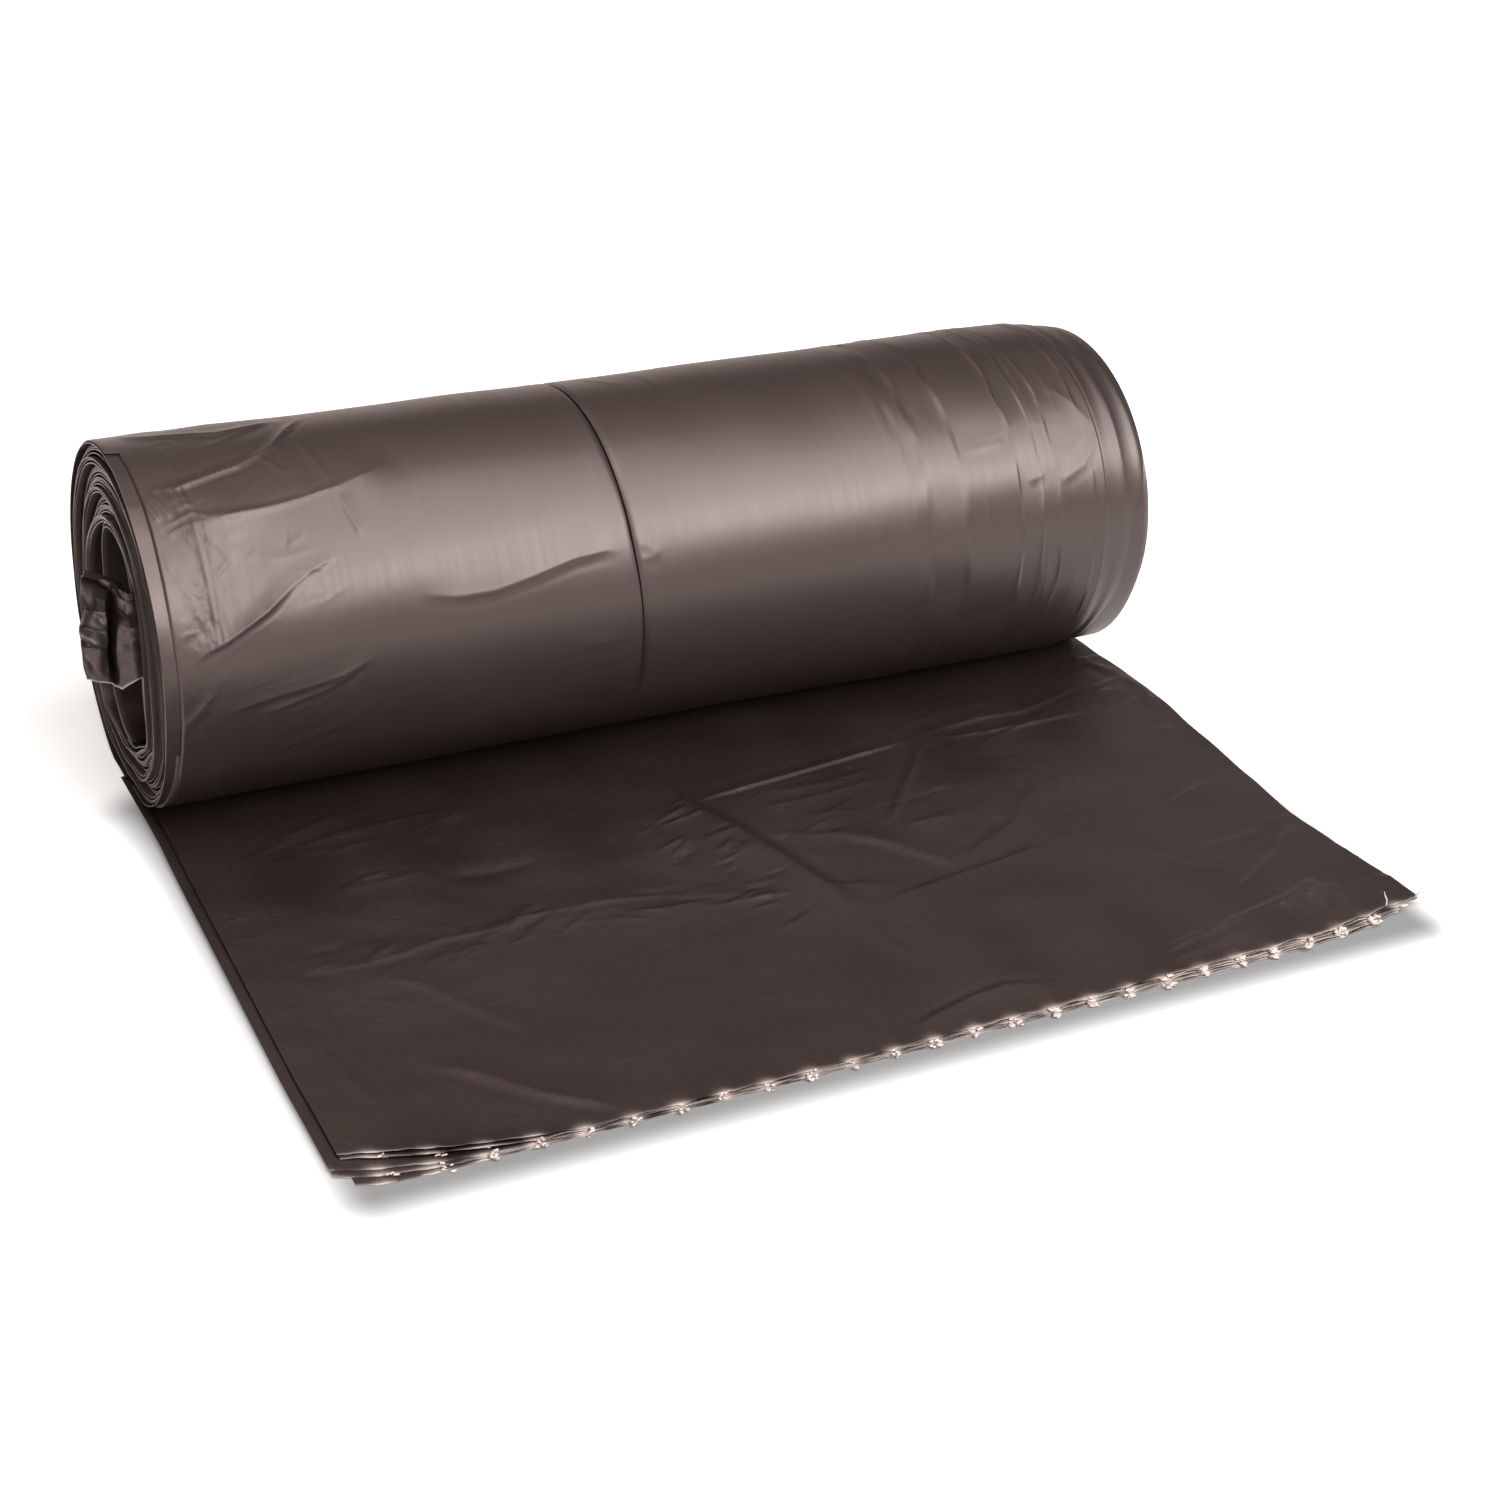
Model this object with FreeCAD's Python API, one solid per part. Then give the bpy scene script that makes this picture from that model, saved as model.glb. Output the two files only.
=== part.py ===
# Bin bag roll. One continuous web of flattened film bags, folded lengthwise and joined end to
# end at perforations, is wound without a core. The first bag is drawn out flat in front.
#
# Row frame: X runs along the roll, with the end that shows the tail at -X. The drawn-out bag
# points to -Y. Z is up, and Z = 0 is the surface that the web lies on. The origin is on that
# surface under the top of the roll, halfway along it.
import FreeCAD
import Part

import math
import os

Vector = FreeCAD.Vector

# Web: a flattened tube of film folded twice lengthwise, so its edges do not line up
web_width = 254.0  # a 40 inch bag folded to a quarter of its width
inner_leaf = 0.4  # the plies that face the middle of the roll, loosely stacked
middle_leaf = 0.4  # the plies between the two
outer_leaf = 0.4  # the two flaps that face outwards and meet near the middle
inner_leaf_inset = 2.4  # how far the inner plies stop short of the web's -X edge
flap_inset = 3.2  # the same for the left flap
middle_leaf_short = 8.0  # how far the middle plies stop short of the +X edge
flap_short = 14.0  # the same for the right flap
fold_line_x = -16.5  # where the left flap ends and the right one starts
fold_line_gap = 0.5

# Roll: one turn of wrap outside, and under it the other turns, which lie in bundles
roll_height = 84.0
turn_count = 7
bundle_thickness = 1.7
top_pitch = 2.5  # from turn to turn on top of the roll
foot_pitch = 1.9  # the same where the roll's weight presses on its foot
front_slack = 2.4  # how much each turn adds to the wall towards the drawn-out bag
pressed_behind = 3.0  # how far the foot is pressed up into the turns' back halves
pressed_in_front = 1.6
end_stagger = 1.6  # how unevenly the bundles' edges stand at the ends

# Drawn-out bag
sheet_reach = 158.5  # from the roll's middle to the corners of the perforated edge
edge_bow = 7.0  # how much further the rest of that edge reaches
leaf_step = 1.2  # how far each leaf's edge stops behind the one below it
perforation_pitch = 9.525  # three eighths of an inch
tie_width = 2.2  # a torn tie where it leaves the edge
tie_tip_width = 1.2
tie_length = 1.5

# Inner end of the web, loose in the hollow
loose_reach = 13.0  # how far behind the roll's middle the loose turn stands
loose_bend = 9.0
loose_end_angle = 62.0  # where the last arc stops, in degrees from the top
tail_out = 11.0  # how far the tail stands out of the roll's end
tail_top_out = 2.5  # the same at the tail's upper corner
tail_shoulder = 5.0  # how far below that corner it has its full reach
tail_in = 60.0  # how far the tail's pleats run back into the roll
tail_thickness = 0.9
pleat_count = 6
pleat_height = 3.1
pleat_depth = 3.4

wrap_thickness = inner_leaf + middle_leaf + outer_leaf
half_web = web_width / 2


def prism(edges, x_low, x_high):
    """Extrude a closed outline in the YZ plane at x_low along X."""
    face = Part.Face(Part.Wire(Part.__sortEdges__(edges)))
    return face.extrude(Vector(x_high - x_low, 0, 0))


def arc(x, centre_y, centre_z, radius, start, end):
    """An arc in the YZ plane. Angles are in degrees from +Y towards +Z."""
    points = []
    for angle in (start, (start + end) / 2, end):
        turn = math.radians(angle)
        y = centre_y + radius * math.cos(turn)
        z = centre_z + radius * math.sin(turn)
        points.append(Vector(x, y, z))
    return Part.Arc(*points).toShape()


def line(x, start, end):
    """A straight edge between two (y, z) points in the YZ plane."""
    return Part.LineSegment(Vector(x, *start), Vector(x, *end)).toShape()


def turn_shape(half):
    """Top and foot levels, radius, straight run and pressed depth of a half turn's inward face.

    Half turns are counted from outside: even ones lie behind, odd ones in front."""
    top = roll_height - wrap_thickness - top_pitch * (half // 2)
    foot = wrap_thickness + foot_pitch * ((half + 1) // 2)
    run = front_slack * (half // 2) if half % 2 else 0
    pressed = pressed_in_front if half % 2 else pressed_behind
    radius = (top - foot + pressed - run) / 2
    return top, foot, radius, run, pressed


def half_turn_line(half, offset, x):
    """A half turn's inward face, from the roll's top to its foot, moved outwards by offset."""
    top, foot, radius, run, pressed = turn_shape(half)
    way = -1 if half % 2 else 1
    side = 90 - way * 90
    reach = radius + offset
    upper = top - radius
    edges = [arc(x, 0, upper, reach, 90, side)]
    if run > 0:
        edges.append(line(x, (way * reach, upper), (way * reach, upper - run)))
    drop = math.asin((reach - pressed) / reach)
    edges.append(arc(x, 0, upper - run, reach, side, side - way * math.degrees(drop)))
    flat_end = (way * reach * math.cos(drop), foot - offset)
    edges.append(line(x, flat_end, (0, foot - offset)))
    return edges


def half_turn(half, inner_offset, outer_offset, x_low, x_high):
    """A half turn of one layer, between two offsets from the web's inward face."""
    top, foot, _, _, _ = turn_shape(half)
    edges = half_turn_line(half, outer_offset, x_low)
    edges.append(line(x_low, (0, foot - outer_offset), (0, foot - inner_offset)))
    edges += half_turn_line(half, inner_offset, x_low)
    edges.append(line(x_low, (0, top + inner_offset), (0, top + outer_offset)))
    return prism(edges, x_low, x_high)


def web_leaves():
    """The web's leaves: inner and outer offset, lowest and highest X, order from outside."""
    middle = inner_leaf + middle_leaf
    right_flap_x = fold_line_x + fold_line_gap
    return [
        (0, inner_leaf, -half_web + inner_leaf_inset, half_web, 2),
        (inner_leaf, middle, -half_web, half_web - middle_leaf_short, 1),
        (middle, wrap_thickness, -half_web + flap_inset, fold_line_x, 0),
        (middle, wrap_thickness, right_flap_x, half_web - flap_short, 0),
    ]


def wrap():
    """The outermost turn, leaf by leaf."""
    solids = []
    for half in (0, 1):
        for inner, outer, x_low, x_high, _ in web_leaves():
            solids.append(half_turn(half, inner, outer, x_low, x_high))
    return solids


def stagger(half, phase):
    """How far a bundle's edge stands back from the end of the roll."""
    return end_stagger * abs(math.sin(2.1 * half + phase))


def bundles():
    """The turns under the wrap."""
    solids = []
    for half in range(2, 2 * turn_count):
        x_low = -half_web + stagger(half, 0.4)
        x_high = half_web - stagger(half, 1.5)
        solids.append(half_turn(half, 0, bundle_thickness, x_low, x_high))
    return solids


def front_edge(x, step):
    """Y of a leaf's perforated edge at x. Its corners are drawn back."""
    return -sheet_reach - edge_bow * (1 - (x / half_web) ** 8) + step


def leaf_outline(x_low, x_high, step, z):
    """The plan of one leaf of the drawn-out bag, with a torn tie at each perforation."""
    points = [Vector(x_high, 0, z), Vector(x_low, 0, z)]
    points.append(Vector(x_low, front_edge(x_low, step), z))
    tie_count = int((web_width - tie_width) // perforation_pitch)
    for index in range(tie_count + 1):
        x = (index - tie_count / 2) * perforation_pitch
        if x - tie_width / 2 <= x_low or x + tie_width / 2 >= x_high:
            continue
        left_foot = x - tie_width / 2
        right_foot = x + tie_width / 2
        tip_y = front_edge(x, step) - tie_length
        points.append(Vector(left_foot, front_edge(left_foot, step), z))
        points.append(Vector(x - tie_tip_width / 2, tip_y, z))
        points.append(Vector(x + tie_tip_width / 2, tip_y, z))
        points.append(Vector(right_foot, front_edge(right_foot, step), z))
    points.append(Vector(x_high, front_edge(x_high, step), z))
    points.append(points[0])
    return Part.makePolygon(points)


def drawn_out_bag():
    """The leaves that lie flat in front of the roll and run under it."""
    solids = []
    for inner, outer, x_low, x_high, order in web_leaves():
        outline = leaf_outline(x_low, x_high, order * leaf_step, wrap_thickness - outer)
        solids.append(Part.Face(outline).extrude(Vector(0, 0, outer - inner)))
    return solids


def loose_turn():
    """The innermost half turn, which has come away from the roll behind."""
    top, foot, _, _, _ = turn_shape(2 * turn_count)
    x_low = -half_web + end_stagger
    x_high = half_web - end_stagger
    straight = loose_reach - loose_bend
    edges = []
    for offset in (0, bundle_thickness):
        bend = loose_bend + offset
        reach = loose_reach + offset
        low = foot + loose_bend
        high = top - loose_bend
        edges.append(line(x_low, (0, foot - offset), (straight, foot - offset)))
        edges.append(arc(x_low, straight, low, bend, -90, 0))
        edges.append(line(x_low, (reach, low), (reach, high)))
        edges.append(arc(x_low, straight, high, bend, 0, 90))
        edges.append(line(x_low, (straight, top + offset), (0, top + offset)))
    edges.append(line(x_low, (0, foot), (0, foot - bundle_thickness)))
    edges.append(line(x_low, (0, top), (0, top + bundle_thickness)))
    return prism(edges, x_low, x_high)


def last_arc_point(offset):
    """A point (y, z) on the end of the web's last arc, offset outwards from its inward face."""
    top, _, radius, _, _ = turn_shape(2 * turn_count + 1)
    turn = math.radians(90 + loose_end_angle)
    y = (radius + offset) * math.cos(turn)
    return y, top - radius + (radius + offset) * math.sin(turn)


def last_arc():
    """The web's inner end, from the roll's top down its front."""
    top, _, radius, _, _ = turn_shape(2 * turn_count + 1)
    end = 90 + loose_end_angle
    x_low = -half_web + end_stagger
    x_high = half_web - end_stagger
    outer = radius + bundle_thickness
    edges = [
        arc(x_low, 0, top - radius, radius, 90, end),
        line(x_low, last_arc_point(0), last_arc_point(bundle_thickness)),
        arc(x_low, 0, top - radius, outer, end, 90),
        line(x_low, (0, top + bundle_thickness), (0, top)),
    ]
    return prism(edges, x_low, x_high)


def tail():
    """The pleated corner of the web's inner end, which stands out of the roll's end."""
    root_y, root_z = last_arc_point(bundle_thickness / 2)
    front = []
    for index in range(pleat_count + 1):
        depth = pleat_depth if index % 2 else 0
        front.append((root_y + depth, root_z - index * pleat_height))
    back = [(y + tail_thickness, z) for y, z in reversed(front)]
    x_low = -half_web - tail_out
    x_high = -half_web + tail_in
    outline = front + back
    edges = [line(x_low, outline[k - 1], outline[k]) for k in range(len(outline))]
    pleats = prism(edges, x_low, x_high)
    lowest = root_z - pleat_count * pleat_height
    side_view = [
        (x_high, lowest),
        (x_low, lowest),
        (x_low, root_z - tail_shoulder),
        (-half_web - tail_top_out, root_z),
        (x_high, root_z),
    ]
    corners = [Vector(x, root_y, z) for x, z in side_view]
    side_face = Part.Face(Part.makePolygon(corners + corners[:1]))
    return pleats.common(side_face.extrude(Vector(0, pleat_depth + tail_thickness, 0)))


def bag_roll():
    """The whole web as one solid."""
    pieces = wrap() + bundles() + drawn_out_bag() + [loose_turn(), last_arc(), tail()]
    return pieces[0].multiFuse(pieces[1:]).removeSplitter()


os.makedirs("parts", exist_ok=True)
roll = bag_roll()
print("valid", roll.isValid(), "solids", len(roll.Solids), "volume", round(roll.Volume))
print("box", roll.BoundBox)
roll.Solids[0].exportStep("parts/bag_roll.step")
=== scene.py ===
import math

import bpy
import numpy as np
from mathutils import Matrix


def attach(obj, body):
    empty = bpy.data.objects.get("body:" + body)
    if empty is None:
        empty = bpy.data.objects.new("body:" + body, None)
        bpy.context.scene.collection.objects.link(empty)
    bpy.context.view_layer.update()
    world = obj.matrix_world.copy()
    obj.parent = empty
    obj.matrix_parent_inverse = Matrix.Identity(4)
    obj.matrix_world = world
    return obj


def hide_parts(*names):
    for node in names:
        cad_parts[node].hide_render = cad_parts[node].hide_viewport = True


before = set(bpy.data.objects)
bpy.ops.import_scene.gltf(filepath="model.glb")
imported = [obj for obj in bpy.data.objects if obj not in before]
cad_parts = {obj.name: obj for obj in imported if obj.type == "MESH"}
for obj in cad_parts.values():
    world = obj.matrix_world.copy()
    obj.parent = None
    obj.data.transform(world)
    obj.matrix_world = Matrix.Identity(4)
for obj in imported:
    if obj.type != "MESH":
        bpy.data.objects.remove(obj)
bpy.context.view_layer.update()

bpy.ops.object.select_all(action="DESELECT")

# Turns under the wrap. The bags are one long web of thin film, flattened, folded twice lengthwise
# and wound without a core. The turns cling together in bundles with air between them, and their
# folded edges stand unevenly at both ends of the roll.
web_end = 127.0  # half of the web's width, all sizes in mm
roll_height = 84.0
wall_top = 17.5  # how thick the wound wall is above, below, and more on the front
wall_foot = 13.3
wall_slack = 16.8
wrap_depth = 1.2
bundle_sizes = [4, 3, 5, 4, 3, 5, 4, 4]


def linear(code):
    """A colour written as an sRGB hex value, turned linear."""
    steps = [int(code[k : k + 2], 16) / 255 for k in (0, 2, 4)]
    return tuple(c / 12.92 if c <= 0.04045 else ((c + 0.055) / 1.055) ** 2.4 for c in steps) + (1,)


def add_node(tree, kind, settings=(), links=()):
    """Add a node, set its sockets and properties, and link other nodes' outputs to its inputs."""
    node = tree.nodes.new(kind)
    for key, value in dict(settings).items():
        if isinstance(key, int) or key in node.inputs:
            node.inputs[key].default_value = value
        else:
            setattr(node, key, value)
    for key, (source, output) in dict(links).items():
        tree.links.new(source.outputs[output], node.inputs[key])
    return node


# Polyethylene film, blown: thin, brown-black, satin. Each ply mirrors some light above the next,
# which a raised specular level adds. Its streaks run the way that the film was drawn, round the roll.
def make_film():
    film = bpy.data.materials.new("polyethylene film, blown")
    film.use_nodes = True
    tree = film.node_tree
    shader = tree.nodes["Principled BSDF"]
    place = add_node(tree, "ShaderNodeTexCoord")
    blotches = add_node(
        tree, "ShaderNodeTexNoise", {"Scale": 28.0, "Detail": 4.0}, {"Vector": (place, "Object")}
    )
    colour = add_node(
        tree,
        "ShaderNodeMix",
        {"data_type": "RGBA", 6: linear("18120f"), 7: linear("201917")},
        {0: (blotches, "Fac")},
    )
    # paler where the attribute says: film whitened where it was stretched or torn, and a painted highlight along the
    # turns' folded edges at the roll's ends
    torn = add_node(tree, "ShaderNodeAttribute", {"attribute_name": "stretch"})
    pale = add_node(
        tree,
        "ShaderNodeMix",
        {"data_type": "RGBA", 7: linear("c6b8b2")},
        {0: (torn, "Fac"), 6: (colour, 2)},
    )
    tree.links.new(pale.outputs[2], shader.inputs["Base Color"])
    # streaks a millimetre or so apart across the web, and 60 mm or more long
    squeeze = add_node(
        tree, "ShaderNodeMapping", {"Scale": (900.0, 16.0, 16.0)}, {"Vector": (place, "Object")}
    )
    streaks = add_node(
        tree, "ShaderNodeTexNoise", {"Scale": 1.0, "Detail": 2.0}, {"Vector": (squeeze, 0)}
    )
    rough = add_node(
        tree,
        "ShaderNodeMapRange",
        {"To Min": 0.32, "To Max": 0.42},
        {"Value": (streaks, "Fac")},
    )
    crumple = add_node(tree, "ShaderNodeAttribute", {"attribute_name": "crumple"})
    rough = add_node(
        tree,
        "ShaderNodeMath",
        {"operation": "MULTIPLY_ADD", 1: 0.16},
        {0: (crumple, "Fac"), 2: (rough, 0)},
    )
    tree.links.new(rough.outputs[0], shader.inputs["Roughness"])
    # where the plies lie slack on each other they mirror less together
    slack = add_node(tree, "ShaderNodeAttribute", {"attribute_name": "slack"})
    mirrored = add_node(
        tree,
        "ShaderNodeMath",
        {"operation": "MULTIPLY_ADD", 1: -0.15, 2: 0.74},
        {0: (slack, "Fac")},
    )
    tree.links.new(mirrored.outputs[0], shader.inputs["Specular IOR Level"])
    # crinkles of 2 to 3 mm, too shallow for the mesh
    crinkles = add_node(
        tree,
        "ShaderNodeTexNoise",
        {"Scale": 330.0, "Detail": 3.0, "Roughness": 0.6},
        {"Vector": (place, "Object")},
    )
    bump = add_node(
        tree,
        "ShaderNodeBump",
        {"Strength": 0.2, "Distance": 0.00006},
        {"Height": (crinkles, "Fac")},
    )
    # where the film was crumpled, facets of 2 to 4 mm with sharp creases between them
    bent = add_node(
        tree,
        "ShaderNodeVectorMath",
        {"operation": "MULTIPLY_ADD", 1: (0.004, 0.004, 0.004)},
        {0: (crinkles, "Color"), 2: (place, "Object")},
    )
    facets = add_node(
        tree,
        "ShaderNodeTexVoronoi",
        {"feature": "DISTANCE_TO_EDGE", "Scale": 330.0},
        {"Vector": (bent, 0)},
    )
    bump = add_node(
        tree,
        "ShaderNodeBump",
        {"Distance": 0.0002},
        {"Height": (facets, "Distance"), "Normal": (bump, 0), "Strength": (crumple, "Fac")},
    )
    drawn = add_node(
        tree,
        "ShaderNodeBump",
        {"Strength": 0.4, "Distance": 0.00004},
        {"Height": (streaks, "Fac"), "Normal": (bump, 0)},
    )
    tree.links.new(drawn.outputs[0], shader.inputs["Normal"])
    shader.inputs["IOR"].default_value = 1.51
    shader.inputs["Specular Tint"].default_value = linear("ffebe6")
    return film


film = make_film()


def keep(piece, material):
    """Finish a piece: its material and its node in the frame."""
    piece.data.materials.append(material)
    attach(piece, "root")
    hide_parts("bag_roll")


def lay_film(name, across, along, place, thickness, **attributes):
    """A flat grid of film, bent to place(across, along) and given its thickness below."""
    bpy.ops.mesh.primitive_grid_add(
        x_subdivisions=len(across) - 1, y_subdivisions=len(along) - 1, size=2
    )
    piece = bpy.context.object
    piece.name = piece.data.name = name
    count = len(piece.data.vertices)
    flat = np.empty(count * 3)
    piece.data.vertices.foreach_get("co", flat)
    flat = flat.reshape(count, 3)
    column = np.rint((flat[:, 0] + 1) / 2 * (len(across) - 1)).astype(int)
    row = np.rint((flat[:, 1] + 1) / 2 * (len(along) - 1)).astype(int)
    u = np.asarray(across, float)[column]
    v = np.asarray(along, float)[row]
    piece.data.vertices.foreach_set("co", (np.stack(place(u, v), 1) / 1000).ravel())
    for kind, amount in attributes.items():
        layer = piece.data.attributes.new(kind, "FLOAT", "POINT")
        layer.data.foreach_set("value", amount(u, v))
    bpy.ops.object.shade_smooth()
    if thickness:
        bpy.ops.object.modifier_add(type="SOLIDIFY")
        piece.modifiers[-1].thickness = thickness / 1000
        piece.modifiers[-1].offset = -1
        bpy.ops.object.modifier_apply(modifier=piece.modifiers[-1].name)
    bpy.ops.object.shade_smooth_by_angle(angle=math.radians(50))
    piece.select_set(False)
    return piece


def waves(seed, x, y, size, rise):
    """Gentle random swells, about size mm from crest to crest and rise mm high."""
    dice = np.random.default_rng(seed)
    level = np.zeros(np.broadcast(x, y).shape)
    for _ in range(7):
        heading = dice.uniform(0, 2 * math.pi)
        length = size * dice.uniform(0.7, 1.8)
        phase = (x * math.cos(heading) + y * math.sin(heading)) / length + dice.uniform(0, 1)
        level += np.sin(2 * math.pi * phase) / 7**0.5
    return rise * level


def turn_path(depth, angle):
    """The section of a turn, depth from 0 at the wrap to 1 at the hollow.

    angle runs from 0 on top, to pi at the foot by the back, then on by the front to 2 pi."""
    back = angle < math.pi
    part = np.where(back, angle / math.pi, 2 - angle / math.pi)
    pressed = np.where(back, 3.0, 1.6)
    top = roll_height - wrap_depth - wall_top * depth
    foot = wrap_depth + wall_foot * depth
    run = np.where(back, 0.0, wall_slack * depth)
    radius = (top - foot + pressed - run) / 2
    turned = part * math.pi
    y = radius * np.sin(turned)
    z = top - radius + radius * np.cos(turned) - run * np.clip((turned - 1.2) / 0.75, 0, 1)
    # the foot is pressed flat, with a round bend at either side of the flat
    z = foot + 1.5 * np.logaddexp(0, (z - foot) / 1.5) - 1.0 * np.clip(depth * 4, 0, 1)
    return np.where(back, y, -y), z


def turns():
    """Depth of each turn in the wall: close together in a bundle, further to the next."""
    steps = []
    for size in bundle_sizes:
        steps += [0.7] * (size - 1) + [2.2]
    return np.concatenate([[0], np.cumsum(steps)]) / sum(steps) * 0.97


turn_depths = turns()
steps_round = 84


def place_turns(u, v):
    """Wind the film: v counts the steps from the outermost turn's foot inwards."""
    whole = v / steps_round
    turn = np.clip(whole.astype(int), 0, len(turn_depths) - 2)
    part = whole - turn
    depth = turn_depths[turn] * (1 - part) + turn_depths[turn + 1] * part
    angle = np.mod(math.pi - 2 * math.pi * part, 2 * math.pi)
    y, z = turn_path(depth, angle)
    # the wall is less even towards the hollow, most of all on top and at the foot
    uneven = 0.25 + 1.6 * depth**1.5
    swell = waves(3, 40 * np.cos(angle) + 30 * depth, 40 * np.sin(angle), 34, 0.5) * uneven
    swell += waves(4, u * 0.5, 46 * angle, 30, 0.16) * (1 + depth)
    flat = np.clip((z - wrap_depth) / 8, 0, 1)
    away = np.hypot(y, z - 40) + 1e-6
    y = y + swell * flat * y / away
    z = np.maximum(z + swell * flat * (z - 40) / away, wrap_depth * 0.7)
    # the ends: each bundle stands in or out, and each turn's folds a little besides
    side = np.sign(u)
    bundle = np.repeat(np.arange(len(bundle_sizes)), bundle_sizes)
    of_bundle = bundle[np.clip(turn, 0, len(bundle) - 1)]
    stands = 1.0 * np.sin(2.1 * of_bundle + 0.9 + side) - 0.3
    stands += 0.22 * np.sin(5.3 * turn + 1.7 * side) + 0.4 * np.sin(angle + 0.8 * of_bundle)
    stands += waves(5, 30 * angle, 9.0 * turn, 16, 0.12)
    near = np.clip((np.abs(u) - 90) / 37, 0, 1)
    x = u + side * near * np.minimum(stands - 1.1, 0.6)
    return x, y, z


turn_rows = np.arange(0, steps_round * (len(turn_depths) - 1) + 1)
turn_columns = [-127, -125.5, -123, -118, -108, -60, 60, 108, 118, 123, 125.5, 127]
wound = lay_film(
    "wound_turns",
    turn_columns,
    turn_rows,
    place_turns,
    0.27,
    # the folded edges at both ends a little paler: partly film whitened in the fold, partly a painted highlight where
    # the folds catch light
    stretch=lambda u, v: 0.1 * (np.abs(u) > 126),
)
keep(wound, film)

# Inner end of the web. The last turn has come loose: it stands behind the middle of the hollow,
# bends forward under the turns' top and ends in front. Its corner at the left end sticks out of
# the roll, pleated and crumpled, with a torn edge below.
loose_section = [
    (-4, 14.6), (3, 14.8), (8.4, 18.2), (11.0, 24.5), (11.9, 36), (11.3, 48), (9.4, 58.4),
    (5.8, 64.2), (0, 66), (-6, 64.9), (-11.2, 61.3), (-14.8, 56.6),
]


def place_loose(offset):
    """A function that lays a ply of the loose turn, offset mm outwards from the innermost."""
    points = np.array(loose_section, float)
    lengths = np.concatenate([[0], np.cumsum(np.hypot(*np.diff(points, axis=0).T))])
    even = np.linspace(0, lengths[-1], 90)
    y = np.interp(even, lengths, points[:, 0])
    z = np.interp(even, lengths, points[:, 1])
    for _ in range(12):
        y[1:-1] = (y[:-2] + 2 * y[1:-1] + y[2:]) / 4
        z[1:-1] = (z[:-2] + 2 * z[1:-1] + z[2:]) / 4
    out_y, out_z = np.gradient(z), -np.gradient(y)
    size = np.hypot(out_y, out_z)

    def place(u, v):
        part = v * even[-1]
        off = offset + waves(17, u * 0.6, part, 30, 0.35) + waves(18, u, part, 12, 0.05)
        ends = 0.9 + 0.5 * np.sin(offset * 5 + np.sign(u)) + waves(19, part, 9 * offset, 20, 0.25)
        x = u - np.sign(u) * ends * (np.abs(u) > 100)
        along = [np.interp(part, even, line) for line in (y, z, out_y / size, out_z / size)]
        return x, along[0] + off * along[2], along[1] + off * along[3]

    return place


loose_columns = [-127, -125.5, -122, -115, -100, -60, 0, 60, 100, 115, 122, 125.5, 127]
for index, offset in enumerate((0.0, 0.42, 0.95, 1.4)):
    ply = lay_film(
        "loose_turn_ply_%d" % (index + 1),
        loose_columns,
        np.linspace(0, 1, 80),
        place_loose(offset),
        0.24,
        # the folded edges at both ends a little paler: partly film whitened in the fold, partly a painted highlight
        # where the folds catch light
        stretch=lambda u, v: 0.1 * (np.abs(u) > 126),
    )
    keep(ply, film)

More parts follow.
